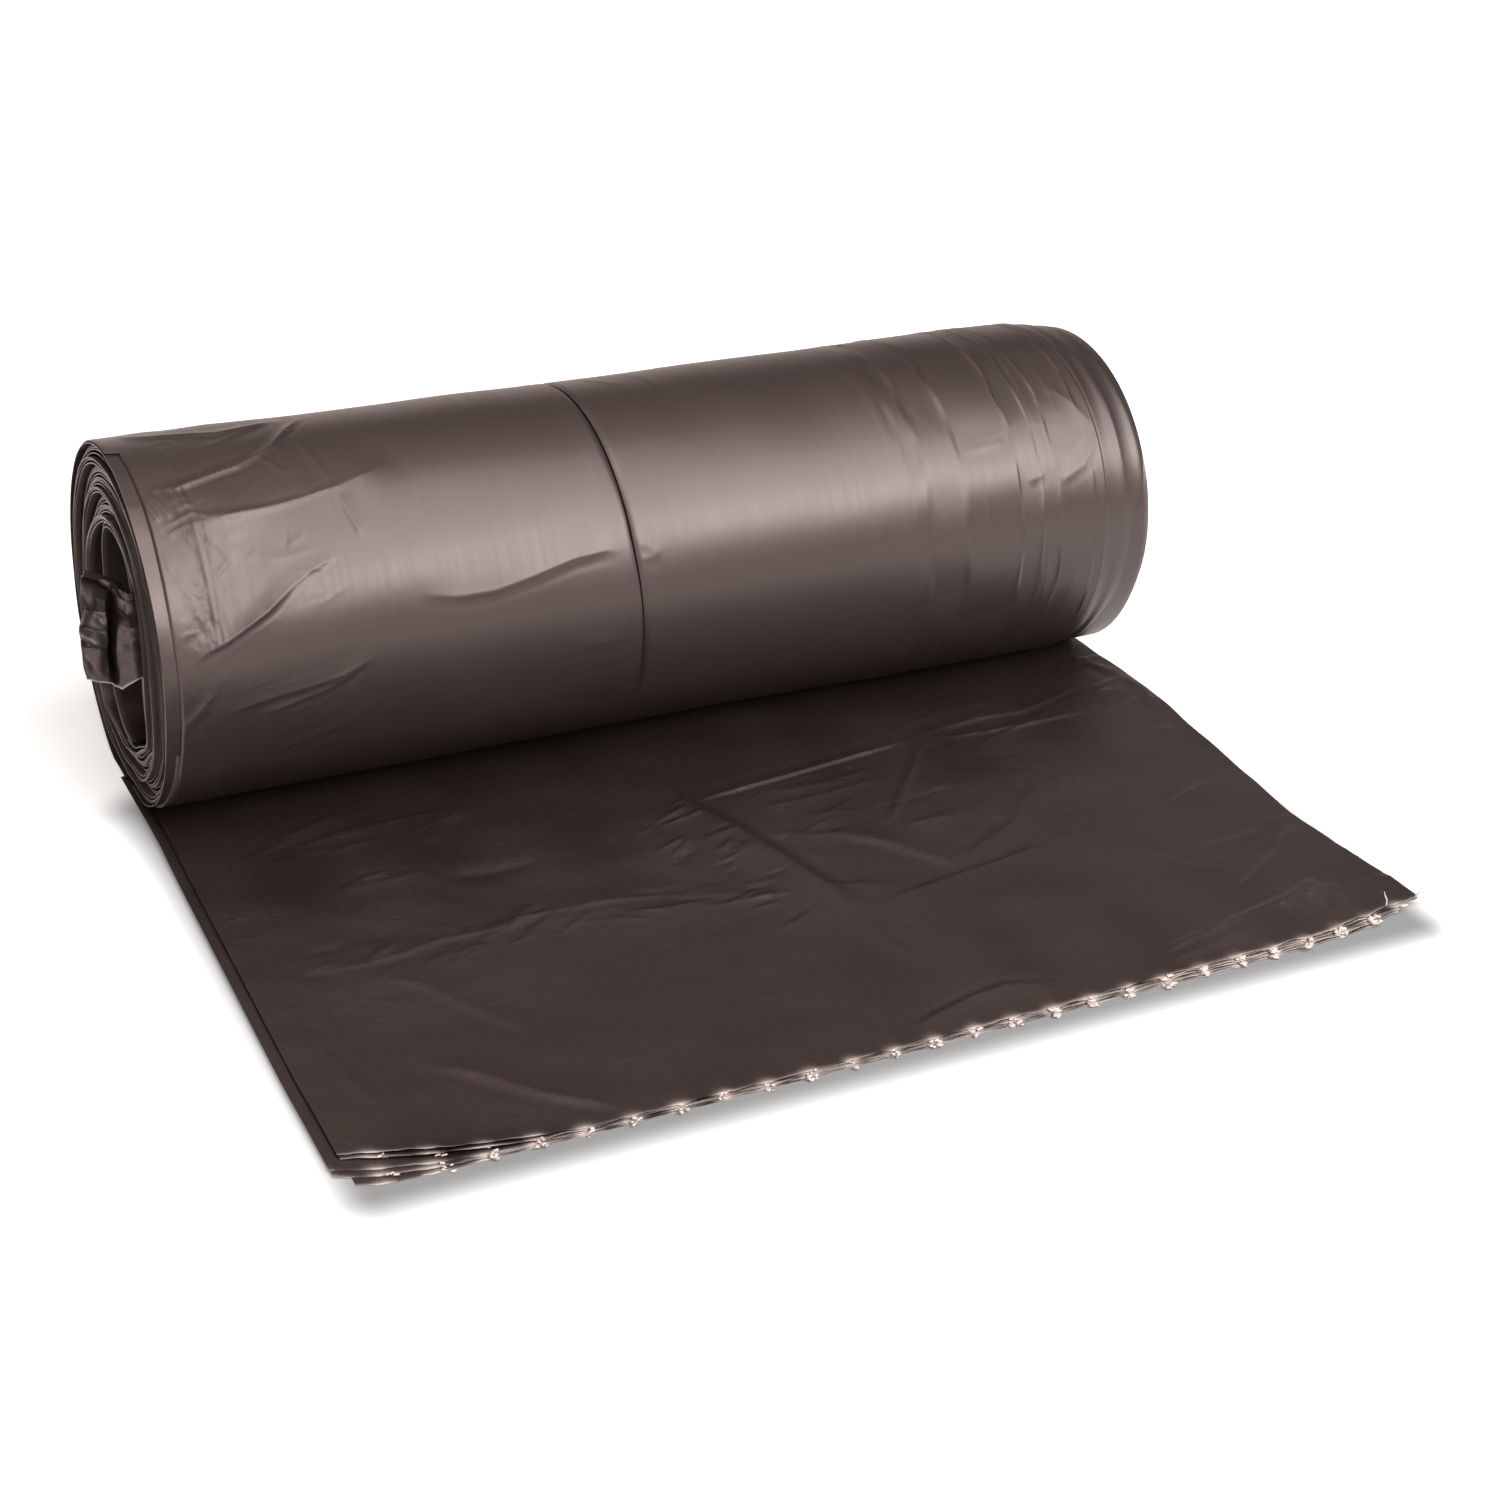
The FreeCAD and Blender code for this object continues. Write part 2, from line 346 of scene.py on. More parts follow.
# The tail's folds from its upper edge down, each from its free corner into the roll (x, y, z)
tail_folds = [
    [(-135.4, -11.0, 61.8), (-132.4, -11.0, 60.6), (-129.5, -11.0, 58.9), (-128.7, -11.5, 58.4), (-127.8, -12.0, 57.9), (-126.2, -13.0, 56.1), (-116, -14.0, 57.5), (-86, -14.5, 57)],
    [(-136.4, -15.0, 62.9), (-133.5, -15.0, 61.5), (-130.9, -15.5, 60.1), (-130.0, -15.8, 59.5), (-129.2, -16.0, 58.8), (-127.6, -17.0, 56.9), (-116, -16.5, 57.5), (-86, -16, 57)],
    [(-136.8, -13.5, 61.3), (-134.0, -13.3, 59.9), (-131.4, -13.5, 58.3), (-130.3, -13.0, 57.3), (-129.4, -14.2, 56.8), (-127.9, -16.5, 55.4), (-116, -14.6, 55.0), (-86, -14, 54.5)],
    [(-137.7, -16.5, 59.0), (-135.4, -17.2, 58.1), (-132.7, -16.5, 56.8), (-130.6, -12.0, 54.5), (-129.9, -16.0, 54.6), (-128.3, -18.0, 53.8), (-116, -17.0, 53.4), (-86, -15.8, 52.5)],
    [(-136.6, -14.4, 54.4), (-134.4, -14.2, 53.6), (-132.4, -14.6, 53.2), (-130.5, -10.0, 51.2), (-129.2, -15.0, 51.7), (-128.0, -18.0, 51.3), (-116, -15.0, 50.8), (-86, -13.5, 50)],
    [(-138.3, -15.6, 51.6), (-135.4, -15.3, 51.6), (-132.5, -15.6, 51.0), (-130.7, -10.0, 48.6), (-130.0, -16.3, 50.0), (-128.0, -18.0, 49.8), (-116, -16.8, 49.0), (-86, -15.4, 48.5)],
    [(-138.6, -15.9, 50.3), (-135.8, -15.8, 49.6), (-132.8, -15.9, 48.9), (-131.0, -10.0, 46.8), (-130.5, -17.0, 48.4), (-128.1, -18.0, 47.9), (-116, -17.0, 47.0), (-86, -15.5, 46)],
    [(-138.8, -17.6, 48.5), (-136.0, -17.6, 47.7), (-133.0, -17.5, 46.9), (-131.0, -9.5, 44.6), (-130.7, -17.0, 46.2), (-128.0, -18.6, 46.2), (-116, -15.8, 45.2), (-86, -13.8, 44.5)],
    [(-138.4, -15.4, 45.7), (-135.8, -15.3, 45.2), (-133.0, -15.5, 44.5), (-131.2, -9.5, 42.4), (-130.9, -17.0, 44.1), (-128.0, -19.0, 43.7), (-116, -17.0, 43.2), (-86, -15.2, 42.5)],
    [(-138.4, -16.2, 41.9), (-135.9, -16.3, 40.9), (-133.1, -16.2, 40.2), (-131.3, -10.5, 38.4), (-131.0, -17.0, 40.2), (-127.8, -19.6, 41.0), (-116, -17.4, 40.6), (-86, -15.5, 40.5)],
    [(-137.9, -16.5, 38.2), (-135.5, -16.5, 37.4), (-133.1, -17.0, 36.8), (-131.6, -16.0, 35.5), (-130.5, -18.0, 35.6), (-127.5, -19.8, 38.0), (-116, -17.0, 38.4), (-86, -15, 38.5)],
]


def place_tail(u, v):
    """Between the folds the film is pulled straight. u and v count along and down them."""
    folds = np.array(tail_folds, float)
    column = np.clip(u.astype(int), 0, folds.shape[1] - 2)
    row = np.clip(v.astype(int), 0, folds.shape[0] - 2)
    right = (u - column)[:, None]
    down = (v - row)[:, None]
    upper = folds[row, column] * (1 - right) + folds[row, column + 1] * right
    lower = folds[row + 1, column] * (1 - right) + folds[row + 1, column + 1] * right
    point = upper * (1 - down) + lower * down
    wave = waves(20, 3.1 * u, 3.1 * v, 5, 0.3) + waves(16, 3.1 * u, 3.1 * v, 2.4, 0.1)
    return point[:, 0] + 0.3 * wave, point[:, 1] + wave, point[:, 2] + 0.3 * wave


tail = lay_film(
    "crumpled_tail",
    np.linspace(0, 7, 57),
    np.linspace(0, 10, 81),
    place_tail,
    0.2,
    crumple=lambda u, v: np.full(len(u), 0.15),
    # pale along its torn lower edge, where the film was stretched, and a trace paler all over
    stretch=lambda u, v: 0.01 + 0.8 * (v > 9.93),
)
keep(tail, film)

# Wrap. The outermost turn is the next bag, with its plies in sight one by one: two flaps whose
# folded edges meet off the middle, the plies under them, which reach further out at both ends,
# and the innermost ones. Its creases were pressed in when the web was folded and wound.
front_radius = 41.85
back_radius = 43.5
front_length = front_radius * math.radians(164.1)
back_length = back_radius * math.radians(158.6)


def wrap_section(along):
    """A point (y, z) on the wrap and its outward normal. along is 0 on top, + to the back."""
    back = along > 0
    turned = np.where(back, along / back_radius, along / front_radius)
    radius = np.where(back, back_radius, front_radius)
    y = radius * np.sin(turned)
    z = roll_height - radius + radius * np.cos(turned)
    out_y = np.sin(turned)
    out_z = np.cos(turned)
    under_back = along > back_length
    under_front = along < -front_length
    y = np.where(under_back, 15.87 - (along - back_length), y)
    z = np.where(under_back, 0.0, z)
    y = np.where(under_front, -11.46 - (along + front_length), y)
    z = np.where(under_front, 1.9, z)
    under = under_back | under_front
    return y, z, np.where(under, 0.0, out_y), np.where(under, -1.0, out_z)


def crease(x, y, points, rise, left, right, power=1.0):
    """The height of one crease along points. It falls over left mm to its left, right mm to
    its right, and fades out at both ends."""
    points = np.asarray(points, float)
    best = np.full(x.shape, 1e9)
    side = np.ones(x.shape)
    along = np.zeros(x.shape)
    lengths = np.hypot(*np.diff(points, axis=0).T)
    starts = np.concatenate([[0], np.cumsum(lengths)])
    for k in range(len(points) - 1):
        a = points[k]
        d = points[k + 1] - a
        t = ((x - a[0]) * d[0] + (y - a[1]) * d[1]) / lengths[k] ** 2
        t = np.clip(t, 0, 1)
        off = np.hypot(x - a[0] - t * d[0], y - a[1] - t * d[1])
        nearer = off < best
        best = np.where(nearer, off, best)
        turn = d[0] * (y - a[1]) - d[1] * (x - a[0])
        side = np.where(nearer, np.sign(turn), side)
        along = np.where(nearer, starts[k] + t * lengths[k], along)
    width = np.where(side > 0, left, right)
    share = along / starts[-1]
    fade = np.clip(np.minimum(share, 1 - share) / 0.22, 0, 1)
    crest = np.exp(-((best / width) ** power))
    trough = 0.2 * np.exp(-(((best - 2.6 * width) / (1.3 * width)) ** 2))
    return rise * fade * fade * (3 - 2 * fade) * (crest - trough)


def crinkle(seed, x, y, area, count, length, width, rise, heading, spread):
    """Many short creases at random places in area (x low, x high, y low, y high)."""
    dice = np.random.default_rng(seed)
    level = np.zeros(x.shape)
    for _ in range(count):
        at_x = dice.uniform(area[0], area[1])
        at_y = dice.uniform(area[2], area[3])
        turn = math.radians(heading + dice.normal() * spread)
        half = length * dice.uniform(0.5, 1.4) / 2
        wide = width * dice.uniform(0.6, 1.5)
        high = rise * dice.uniform(0.4, 1.2) * (1 if dice.uniform() > 0.3 else -0.7)
        along = (x - at_x) * math.cos(turn) + (y - at_y) * math.sin(turn)
        over = (y - at_y) * math.cos(turn) - (x - at_x) * math.sin(turn)
        over = over + 0.06 * along**2 / half * dice.uniform(-1, 1)
        fade = np.clip(1.3 - np.abs(along) / half, 0, 1)
        tail = np.where(over > 0, wide, wide * dice.uniform(1.2, 3.5))
        level += high * fade * fade * (3 - 2 * fade) * np.exp(-np.abs(over) / tail)
    return level


# Creases on the wrap: points across the web and from the top down the front, height, how wide
# they fall on the left and on the right, and 1 for a sharp crest or 2 for a round one.
wrap_creases = [
    ([(-123.1, 19.1), (-120.1, 17.5), (-115.4, 18), (-110.8, 16.6), (-104.8, 14.6), (-100.7, 13.4), (-95.4, 10.5), (-91.2, 7.5), (-86.5, 1.5), (-81.7, -4.6), (-78.3, -8.3)], 0.52, 0.6, 0.9, 1),
    ([(-86.2, 2.3), (-84.8, 7.7), (-83.8, 14.2), (-82.9, 21.9)], 0.13, 0.8, 0.8, 1),
    ([(-95.6, 11.1), (-93.2, 14), (-91.1, 18)], 0.1, 0.7, 0.7, 1),
    ([(-119.5, 29.2), (-114.4, 27.7), (-107.4, 27.6), (-100.3, 26.9), (-90, 25.4), (-81.2, 23.6), (-73.1, 20.8), (-64.7, 17.8)], 0.85, 5.5, 6, 1),
    ([(-114.4, 27.7), (-111.4, 28.6), (-107.4, 27.6), (-103.5, 27), (-100.3, 26.9), (-95.8, 26.4), (-90, 25.4), (-85.3, 24.2), (-81.2, 23.6), (-76.9, 22.3)], 0.2, 0.6, 0.6, 1),
    ([(-81.6, 24.8), (-80.7, 30.5), (-78.7, 36.6)], 0.2, 0.5, 1.6, 1),
    ([(-120.8, 58), (-116.8, 55.4), (-112.9, 54.2), (-107.8, 51.6), (-103.1, 49.1), (-99.4, 46.5), (-95.7, 43.9)], 0.42, 0.5, 1.3, 1),
    ([(-110, 52.7), (-103.1, 49.1), (-99.4, 46.5), (-95.7, 43.9), (-92, 41.8), (-87.8, 40), (-83.5, 38.6)], 0.24, 0.5, 1.6, 1),
    ([(-103.3, 50.2), (-98.6, 47.7), (-93.7, 44.7), (-88.3, 41.2)], 0.08, 0.5, 0.8, 1),
    ([(-114.3, 28.3), (-114.3, 34.6), (-114.2, 41.6), (-114.3, 47.4), (-114.5, 53.7)], 0.09, 0.5, 0.6, 1),
    ([(-115.4, 27.5), (-115.3, 33.4), (-115.1, 38.3)], 0.06, 0.5, 0.6, 1),
    ([(-106.1, 37.2), (-102.8, 36.9), (-98.7, 37.8), (-92.1, 37.4), (-88.2, 36.9)], 0.1, 0.5, 0.7, 1),
    ([(-113.4, 30.2), (-110.5, 33.5), (-108.7, 36.8), (-111.9, 39.3), (-113.1, 40.2)], 0.12, 0.5, 0.6, 1),
    ([(-96.1, 35.7), (-92.4, 34), (-91.3, 31.9)], 0.09, 0.5, 0.6, 1),
    ([(-123.6, 19), (-122.5, 22.6), (-121.4, 26.5)], 0.2, 0.5, 0.7, 1),
    ([(-121.8, 17.9), (-120.2, 22), (-118.8, 26.4)], 0.2, 0.5, 0.7, 1),
    ([(-119.1, 17.7), (-117.6, 21.1), (-116.3, 24.9)], 0.2, 0.5, 0.7, 1),
    ([(-116.4, 17.4), (-115.5, 21.1), (-115.1, 24.5)], 0.2, 0.5, 0.7, 1),
    ([(-121.7, 27.7), (-117.8, 26.5), (-114.3, 25.2), (-111.5, 26.9), (-109.3, 26.7), (-105.6, 26.7)], 0.16, 0.5, 0.6, 1),
    ([(-121.4, 30.4), (-117.7, 28.4), (-116, 28)], 0.14, 0.5, 0.6, 1),
    ([(-122.3, 31.1), (-121.8, 36.8), (-119.6, 40.8), (-117.5, 46.4), (-116, 53.4)], 0.11, 0.5, 0.7, 1),
    ([(-119.9, 42.4), (-117, 49.6), (-115.5, 53.8)], 0.1, 0.5, 0.6, 1),
    ([(-118.1, 43.7), (-116, 49.8), (-115, 53.6)], 0.1, 0.5, 0.6, 1),
    ([(-116.4, 71.6), (-111.5, 70), (-107.2, 69), (-102.8, 68.3), (-96.2, 67.4), (-87.9, 66), (-81.7, 63.5), (-78.8, 62.3)], 0.26, 0.6, 1.5, 1),
    ([(-107.2, 72.8), (-101.8, 71.4), (-96.3, 69.9), (-90.7, 68.5), (-85.1, 65.9), (-81.7, 63.5)], 0.22, 0.5, 0.9, 1),
    ([(-124.4, 74.4), (-120.6, 70.7), (-116.8, 67.2)], 0.22, 0.6, 0.9, 1),
    ([(-123.9, 72.6), (-120, 68.9), (-116.1, 64.9)], 0.2, 0.6, 0.9, 1),
    ([(-103.9, 85.1), (-95.8, 82.1), (-87.6, 79.4), (-84.8, 78.5)], 0.16, 0.6, 1.2, 1),
    ([(-115.1, -0.8), (-111.5, 0)], 0.1, 0.6, 0.6, 1),
    ([(-107.8, 6), (-102.6, 3.3), (-96.5, -0.4), (-88.2, -5.7)], 0.22, 0.7, 0.9, 1),
    ([(-117.8, -4.9), (-107.9, -3.2), (-101.3, -1.1), (-97.1, -2.4), (-90.8, -4.6), (-87.4, -6.6), (-84.3, -3.7)], 0.26, 0.8, 1.4, 1),
    ([(-123.4, -11), (-117, -6.3), (-109, -2.9), (-101, -2), (-93, -3.6), (-86, -8.4)], 0.31, 1.7, 1.7, 2),
    ([(-69, 50.3), (-60, 52.3), (-51, 52.3), (-41, 50.3), (-31, 47.9), (-23, 47.2), (-18, 48.2)], 0.4, 0.8, 2.6, 1),
    ([(-15, 46.2), (-12.6, 47.8), (-10, 50.3)], 0.12, 0.7, 1.2, 1),
    ([(-15, 50.3), (-10, 50.3)], 0.11, 0.7, 0.9, 1),
    ([(-31, 68), (-25, 68.9), (-21, 68.2)], 0.08, 0.9, 1.65, 2),
    ([(-27, 75.7), (-24.6, 81.2), (-26, 86)], 0.06, 1.5, 1.5, 2),
    ([(-11, -12.5), (-7, -6.3), (-2, -0.1)], 0.11, 0.7, 1.2, 1),
    ([(1, -14.6), (4, -4.9), (6.6, 6.8)], 0.12, 0.7, 1.35, 1),
    ([(99, 47.9), (107, 44.4), (112.5, 38.2)], 0.15, 0.75, 1.7, 1),
    ([(97, 44), (104, 41), (110, 35.5)], 0.11, 0.9, 1.65, 1),
    ([(103, 22), (108.5, 28), (112.7, 36)], 0.11, 1.2, 0.9, 1),
    ([(73.4, 37.2), (80, 36.5), (86.5, 36)], 0.11, 0.7, 1.7, 1),
    ([(90, 46.5), (96, 45)], 0.11, 0.7, 1.2, 1),
    ([(-123, -36), (-112, -41), (-98, -49), (-88, -58), (-80, -70)], 0.45, 2.4, 1.3, 1),
    ([(-120, -66), (-110, -62), (-97, -56), (-90, -50)], 0.32, 1.4, 2.2, 1),
    ([(-121, -92), (-106, -84), (-93, -80), (-78, -83)], 0.38, 2.2, 1.3, 1),
    ([(-60, -40), (-48, -46), (-36, -47), (-24, -44)], 0.22, 1.5, 2.6, 1),
    ([(106, -36), (96, -44), (86, -55), (80, -66)], 0.32, 1.4, 2.2, 1),
    ([(108, -74), (97, -70), (84, -62)], 0.28, 2.0, 1.3, 1),
    ([(14, -60), (30, -66), (48, -66)], 0.2, 1.6, 2.4, 1),
]
# Edges of plies further in, which show through the wrap as rings: place, height, width
wrap_rings = [
    (-114.7, 0.22, 0.5), (-112.9, 0.14, 0.5), (-21.0, 0.10, 0.5), (20.0, 0.05, 0.8),
    (55.0, 0.10, 0.9), (62.0, 0.16, 0.6), (72.2, 0.24, 0.6), (88.0, 0.22, 0.7), (94.0, 0.22, 0.5),
    (96.0, 0.12, 0.5), (99.0, 0.16, 0.6), (104.0, 0.06, 0.9), (109.5, 0.10, 0.8),
]


def wrap_relief(x, along):
    """How far the wrap stands out from the roll's plain form."""
    down = -along
    # the roll is a little thicker to the right, and rounded off at that end
    level = 0.45 + 0.95 * (0.5 + 0.5 * np.tanh((x - 45) / 40))
    level -= 1.5 * np.clip((x - 112) / 15, 0, 1) ** 1.5
    for at, rise, width in ((113.6, 0.16, 0.7), (118.2, 0.3, 1.5), (124.2, 0.3, 1.3)):
        sway = at + 0.5 * np.sin(down / 15 + at)
        level += rise * (0.8 + 0.4 * np.sin(down / 11 + at)) * np.exp(-(((x - sway) / width) ** 2))
    level += waves(11, x, down, 70, 0.15) + waves(12, x * 2.4, down * 0.7, 60, 0.06)
    left = np.clip((-78 - x) / 22, 0, 1)
    level += left * (waves(13, x, down, 17, 0.05) + waves(14, x, down, 9, 0.012))
    # between two of the creases on the left the film is pulled straight, in a flat panel
    upper = np.interp(x, [-119.5, -100, -81, -65], [29, 27, 23.6, 17.8])
    lower = np.interp(x, [-120.8, -112.9, -103.1, -95.7, -87.8, -70], [58, 54.2, 49.1, 43.9, 40, 38])
    part = (down - upper) / (lower - upper)
    inside = np.clip(part, 0, 1)
    bow = np.minimum((lower - upper) ** 2 / 340, 1.3)
    panel = bow * (0.75 - 4 * inside * (1 - inside)) - 0.9 * inside
    panel *= np.exp(-np.clip(-part, 0, None) * 3.2) * np.exp(-np.clip(part - 1, 0, None) * 11)
    level += panel * np.clip((x + 124) / 8, 0, 1) * np.clip((-92 - x) / 14, 0, 1)
    for points, rise, one, other, power in wrap_creases:
        level += crease(x, down, points, rise, one, other, power)
    for at, rise, width in wrap_rings:
        wander = at + 0.35 * np.sin(down / 17 + at)
        fade = 0.65 + 0.35 * np.sin(down / 13 + 2.3 * at)
        level += 0.7 * rise * fade * np.exp(-np.abs(x - wander) / width)
        level += 0.4 * rise * fade / (1 + np.exp(-np.clip((x - wander) / 0.6, -40, 40))) * np.exp(
            -np.clip(x - wander, 0, None) / 9
        )
    # the bands of film between the rings on the right each bulge in their own way
    band = np.searchsorted([58, 62, 72.2, 88, 94, 99, 109.5], x)
    bulge = np.sin(down / 3.6 + 2.4 * band + 1.3 * np.sin(5.0 * band))
    level += 0.12 * bulge * (band > 0) * (band < 7)
    level += crinkle(21, x, down, (-123, -113, -22, 100), 60, 5, 0.5, 0.07, 60, 25)
    level += crinkle(22, x, down, (-118, -80, -15, 100), 60, 11, 0.5, 0.06, -22, 18)
    level += crinkle(23, x, down, (-122, -114, 40, 58), 16, 3, 0.4, 0.16, 0, 30)
    level += crinkle(24, x, down, (-112, -88, 30, 46), 14, 7, 0.5, 0.1, 10, 40)
    level += crinkle(25, x, down, (-80, 110, -30, 100), 36, 14, 1.4, 0.025, 0, 60)
    level += crinkle(26, x, down, (-123, 110, -130, -20), 90, 14, 0.9, 0.1, 0, 50)
    level += crinkle(27, x, down, (84, 112, 10, 60), 14, 10, 1.0, 0.05, -40, 30)
    return level - 0.12 * np.exp(-np.abs(x - fold_line(along)) / 0.8)


def wrap_crumple(x, along):
    """How strongly the film is crumpled at a place on the wrap."""
    down = -along
    strip = np.exp(-(((x + 118) / 4.5) ** 2))
    left = np.clip((-84 - x) / 16, 0, 1)
    patchy = np.clip(0.5 + waves(15, x, down, 26, 0.6), 0, 1)
    return np.clip(0.32 * strip + 0.16 * left + 0.06, 0, 1) * patchy


def fold_line(along):
    """Where the two flaps meet, for a point that is along from the top."""
    return -16.4 - 0.5 * np.cos(along / 22) + np.clip(-along - 45, 0, 40) * 0.05


def gap(along):
    """Half of the gap between the two flaps. It closes towards the roll's foot."""
    return 0.03 + 0.19 * np.clip((along + 76) / 12, 0, 1)


def place_wrap(offset, left, right):
    """A function that lays a ply of the wrap, offset mm under the outermost face."""

    def place(u, v):
        low = left(v)
        high = right(v)
        x = low + (u + 1) / 2 * (high - low)
        y, z, out_y, out_z = wrap_section(v)
        under = np.clip((np.minimum(v + front_length, back_length - v) + 6) / 12, 0, 1)
        out = under * wrap_relief(x, v) - offset
        # the plies below the two flaps sag into the gap between them
        if offset > 0.3:
            out = out - 0.7 * under * np.exp(-(((x - fold_line(v)) / 1.4) ** 2))
        else:
            out = out - 0.3 * (np.abs(u) == 1)
        return x, y + out * out_y, np.maximum(z + out * out_z, 0.02)

    def crumple(u, v):
        low = left(v)
        return wrap_crumple(low + (u + 1) / 2 * (right(v) - low), v)

    return place, crumple


def left_edge(v):
    """The left flap's edge, set back from a point just in front of the top."""
    step = np.clip((-v - 0.6) / 0.5, 0, 1)
    return -126.7 + 2.9 * step + waves(31, v, 0 * v, 45, 0.15)


def wrap_rows(fine, coarse):
    """Rows close together where the wrap is creased most, from behind the top down the front."""
    return np.concatenate(
        [
            np.arange(-front_length - 8, -92, 1.5),
            np.arange(-92, 14, fine),
            np.arange(14, 46, coarse),
            np.arange(46, 100, 2.0),
            np.arange(100, back_length + 14, 3.5),
        ]
    )


left_columns = list(np.linspace(-1, 0.0, 166)) + list(np.linspace(0.015, 1, 70))
right_columns = list(np.linspace(-1, 0.58, 130)) + list(np.linspace(0.59, 1, 74))
end_columns = [-1, -0.97, -0.9, -0.2, -0.16, -0.13, -0.1, 0, 0.85] + list(np.linspace(0.88, 1, 26))
plies = [
    # name, offset, left edge, right edge, columns, row step on the front, thickness
    ("wrap_inner_ply", 0.95, lambda v: -124.6 + 0 * v, lambda v: 126.4 + waves(32, v, 0 * v, 60, 0.2), end_columns, 0.9, 0.25),
    ("wrap_middle_ply", 0.6, lambda v: -127 + waves(33, v, 0 * v, 50, 0.12), lambda v: 118.8 + waves(34, v, 0 * v, 50, 0.25), end_columns, 0.9, 0.25),
    ("wrap_left_flap", 0.05, left_edge, lambda v: fold_line(v) - gap(v), left_columns, 0.4, 0),
    ("wrap_right_flap", 0.05, lambda v: fold_line(v) + gap(v), lambda v: 113 + waves(35, v, 0 * v, 50, 0.3), right_columns, 0.5, 0),
]
for name, offset, left, right, across, fine, thickness in plies:
    place, crumple = place_wrap(offset, left, right)
    ply = lay_film(name, across, wrap_rows(fine, 1.5), place, thickness, crumple=crumple)
    keep(ply, film)
    width = float((right(np.zeros(1)) - left(np.zeros(1)))[0])

# Drawn-out bag. The first bag lies flat in front of the roll, with its inner side up, and runs on
# under the roll. It is eight plies of film, which lie loosely on each other, creased from
# being wound. The folded flaps lie at the bottom and show as a broad soft step near the middle.
sheet_corner = -158.5
sheet_bow = 7.0
tie_pitch = 9.525  # three eighths of an inch from tie to tie along the torn edge
tie_count = 26


def torn_edge(x):
    """Where the perforated edge lies. Its corners are drawn back."""
    return sheet_corner - sheet_bow * (1 - np.abs(x / web_end) ** 8)


def left_bulge(y):
    """How far the drawn-out bag reaches out past the web's left edge."""
    return 0.6 + 2.3 * np.clip((-y - 30) / 100, 0, 1) ** 0.8


